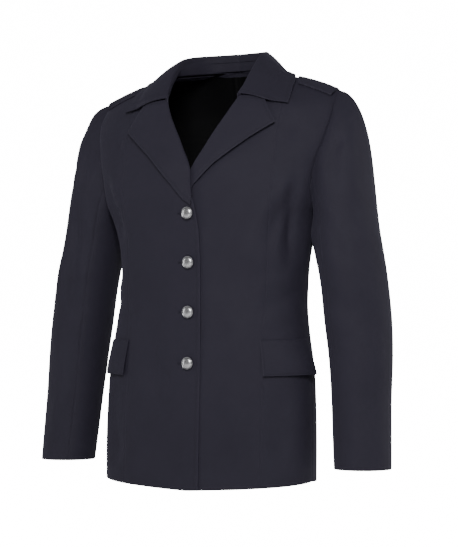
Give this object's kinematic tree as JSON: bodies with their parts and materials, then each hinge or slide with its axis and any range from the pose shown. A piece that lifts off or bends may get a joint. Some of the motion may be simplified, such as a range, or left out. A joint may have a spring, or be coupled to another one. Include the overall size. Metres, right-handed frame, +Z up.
{
  "type": "dress uniform jacket",
  "caption": "Woman's tailored dark navy uniform jacket with notched lapels, domed front buttons, pocket flaps and shoulder straps, in its worn shape with no wearer",
  "frame": {"origin": "middle of the neck, level with the points where the shoulder seams meet the collar", "axes": "+Z up, -Y the way the wearer faces, +X the wearer's left"},
  "size_m": [0.6382, 0.2323, 0.7356],
  "materials": {
    "navy_cloth": "matt fine twill wool blend, very dark navy",
    "black_lining": "smooth black satin lining",
    "silver_button": "plain domed silver metal"
  },
  "bodies": {
    "root": {"left_front": "navy_cloth", "right_front": "navy_cloth", "left_side_front": "navy_cloth", "right_side_front": "navy_cloth", "left_back": "navy_cloth", "right_back": "navy_cloth", "left_top_sleeve": "navy_cloth", "right_top_sleeve": "navy_cloth", "left_under_sleeve": "navy_cloth", "right_under_sleeve": "navy_cloth", "left_lapel": "navy_cloth", "right_lapel": "navy_cloth", "left_pocket_flap": "navy_cloth", "right_pocket_flap": "navy_cloth", "collar_fall": "navy_cloth", "collar_stand": "navy_cloth", "back_neck_facing": "navy_cloth", "left_shoulder_strap": "navy_cloth", "right_shoulder_strap": "navy_cloth", "back_lining": "black_lining", "front_button_1": "silver_button", "front_button_2": "silver_button", "front_button_3": "silver_button", "front_button_4": "silver_button"}
  },
  "joints": []
}
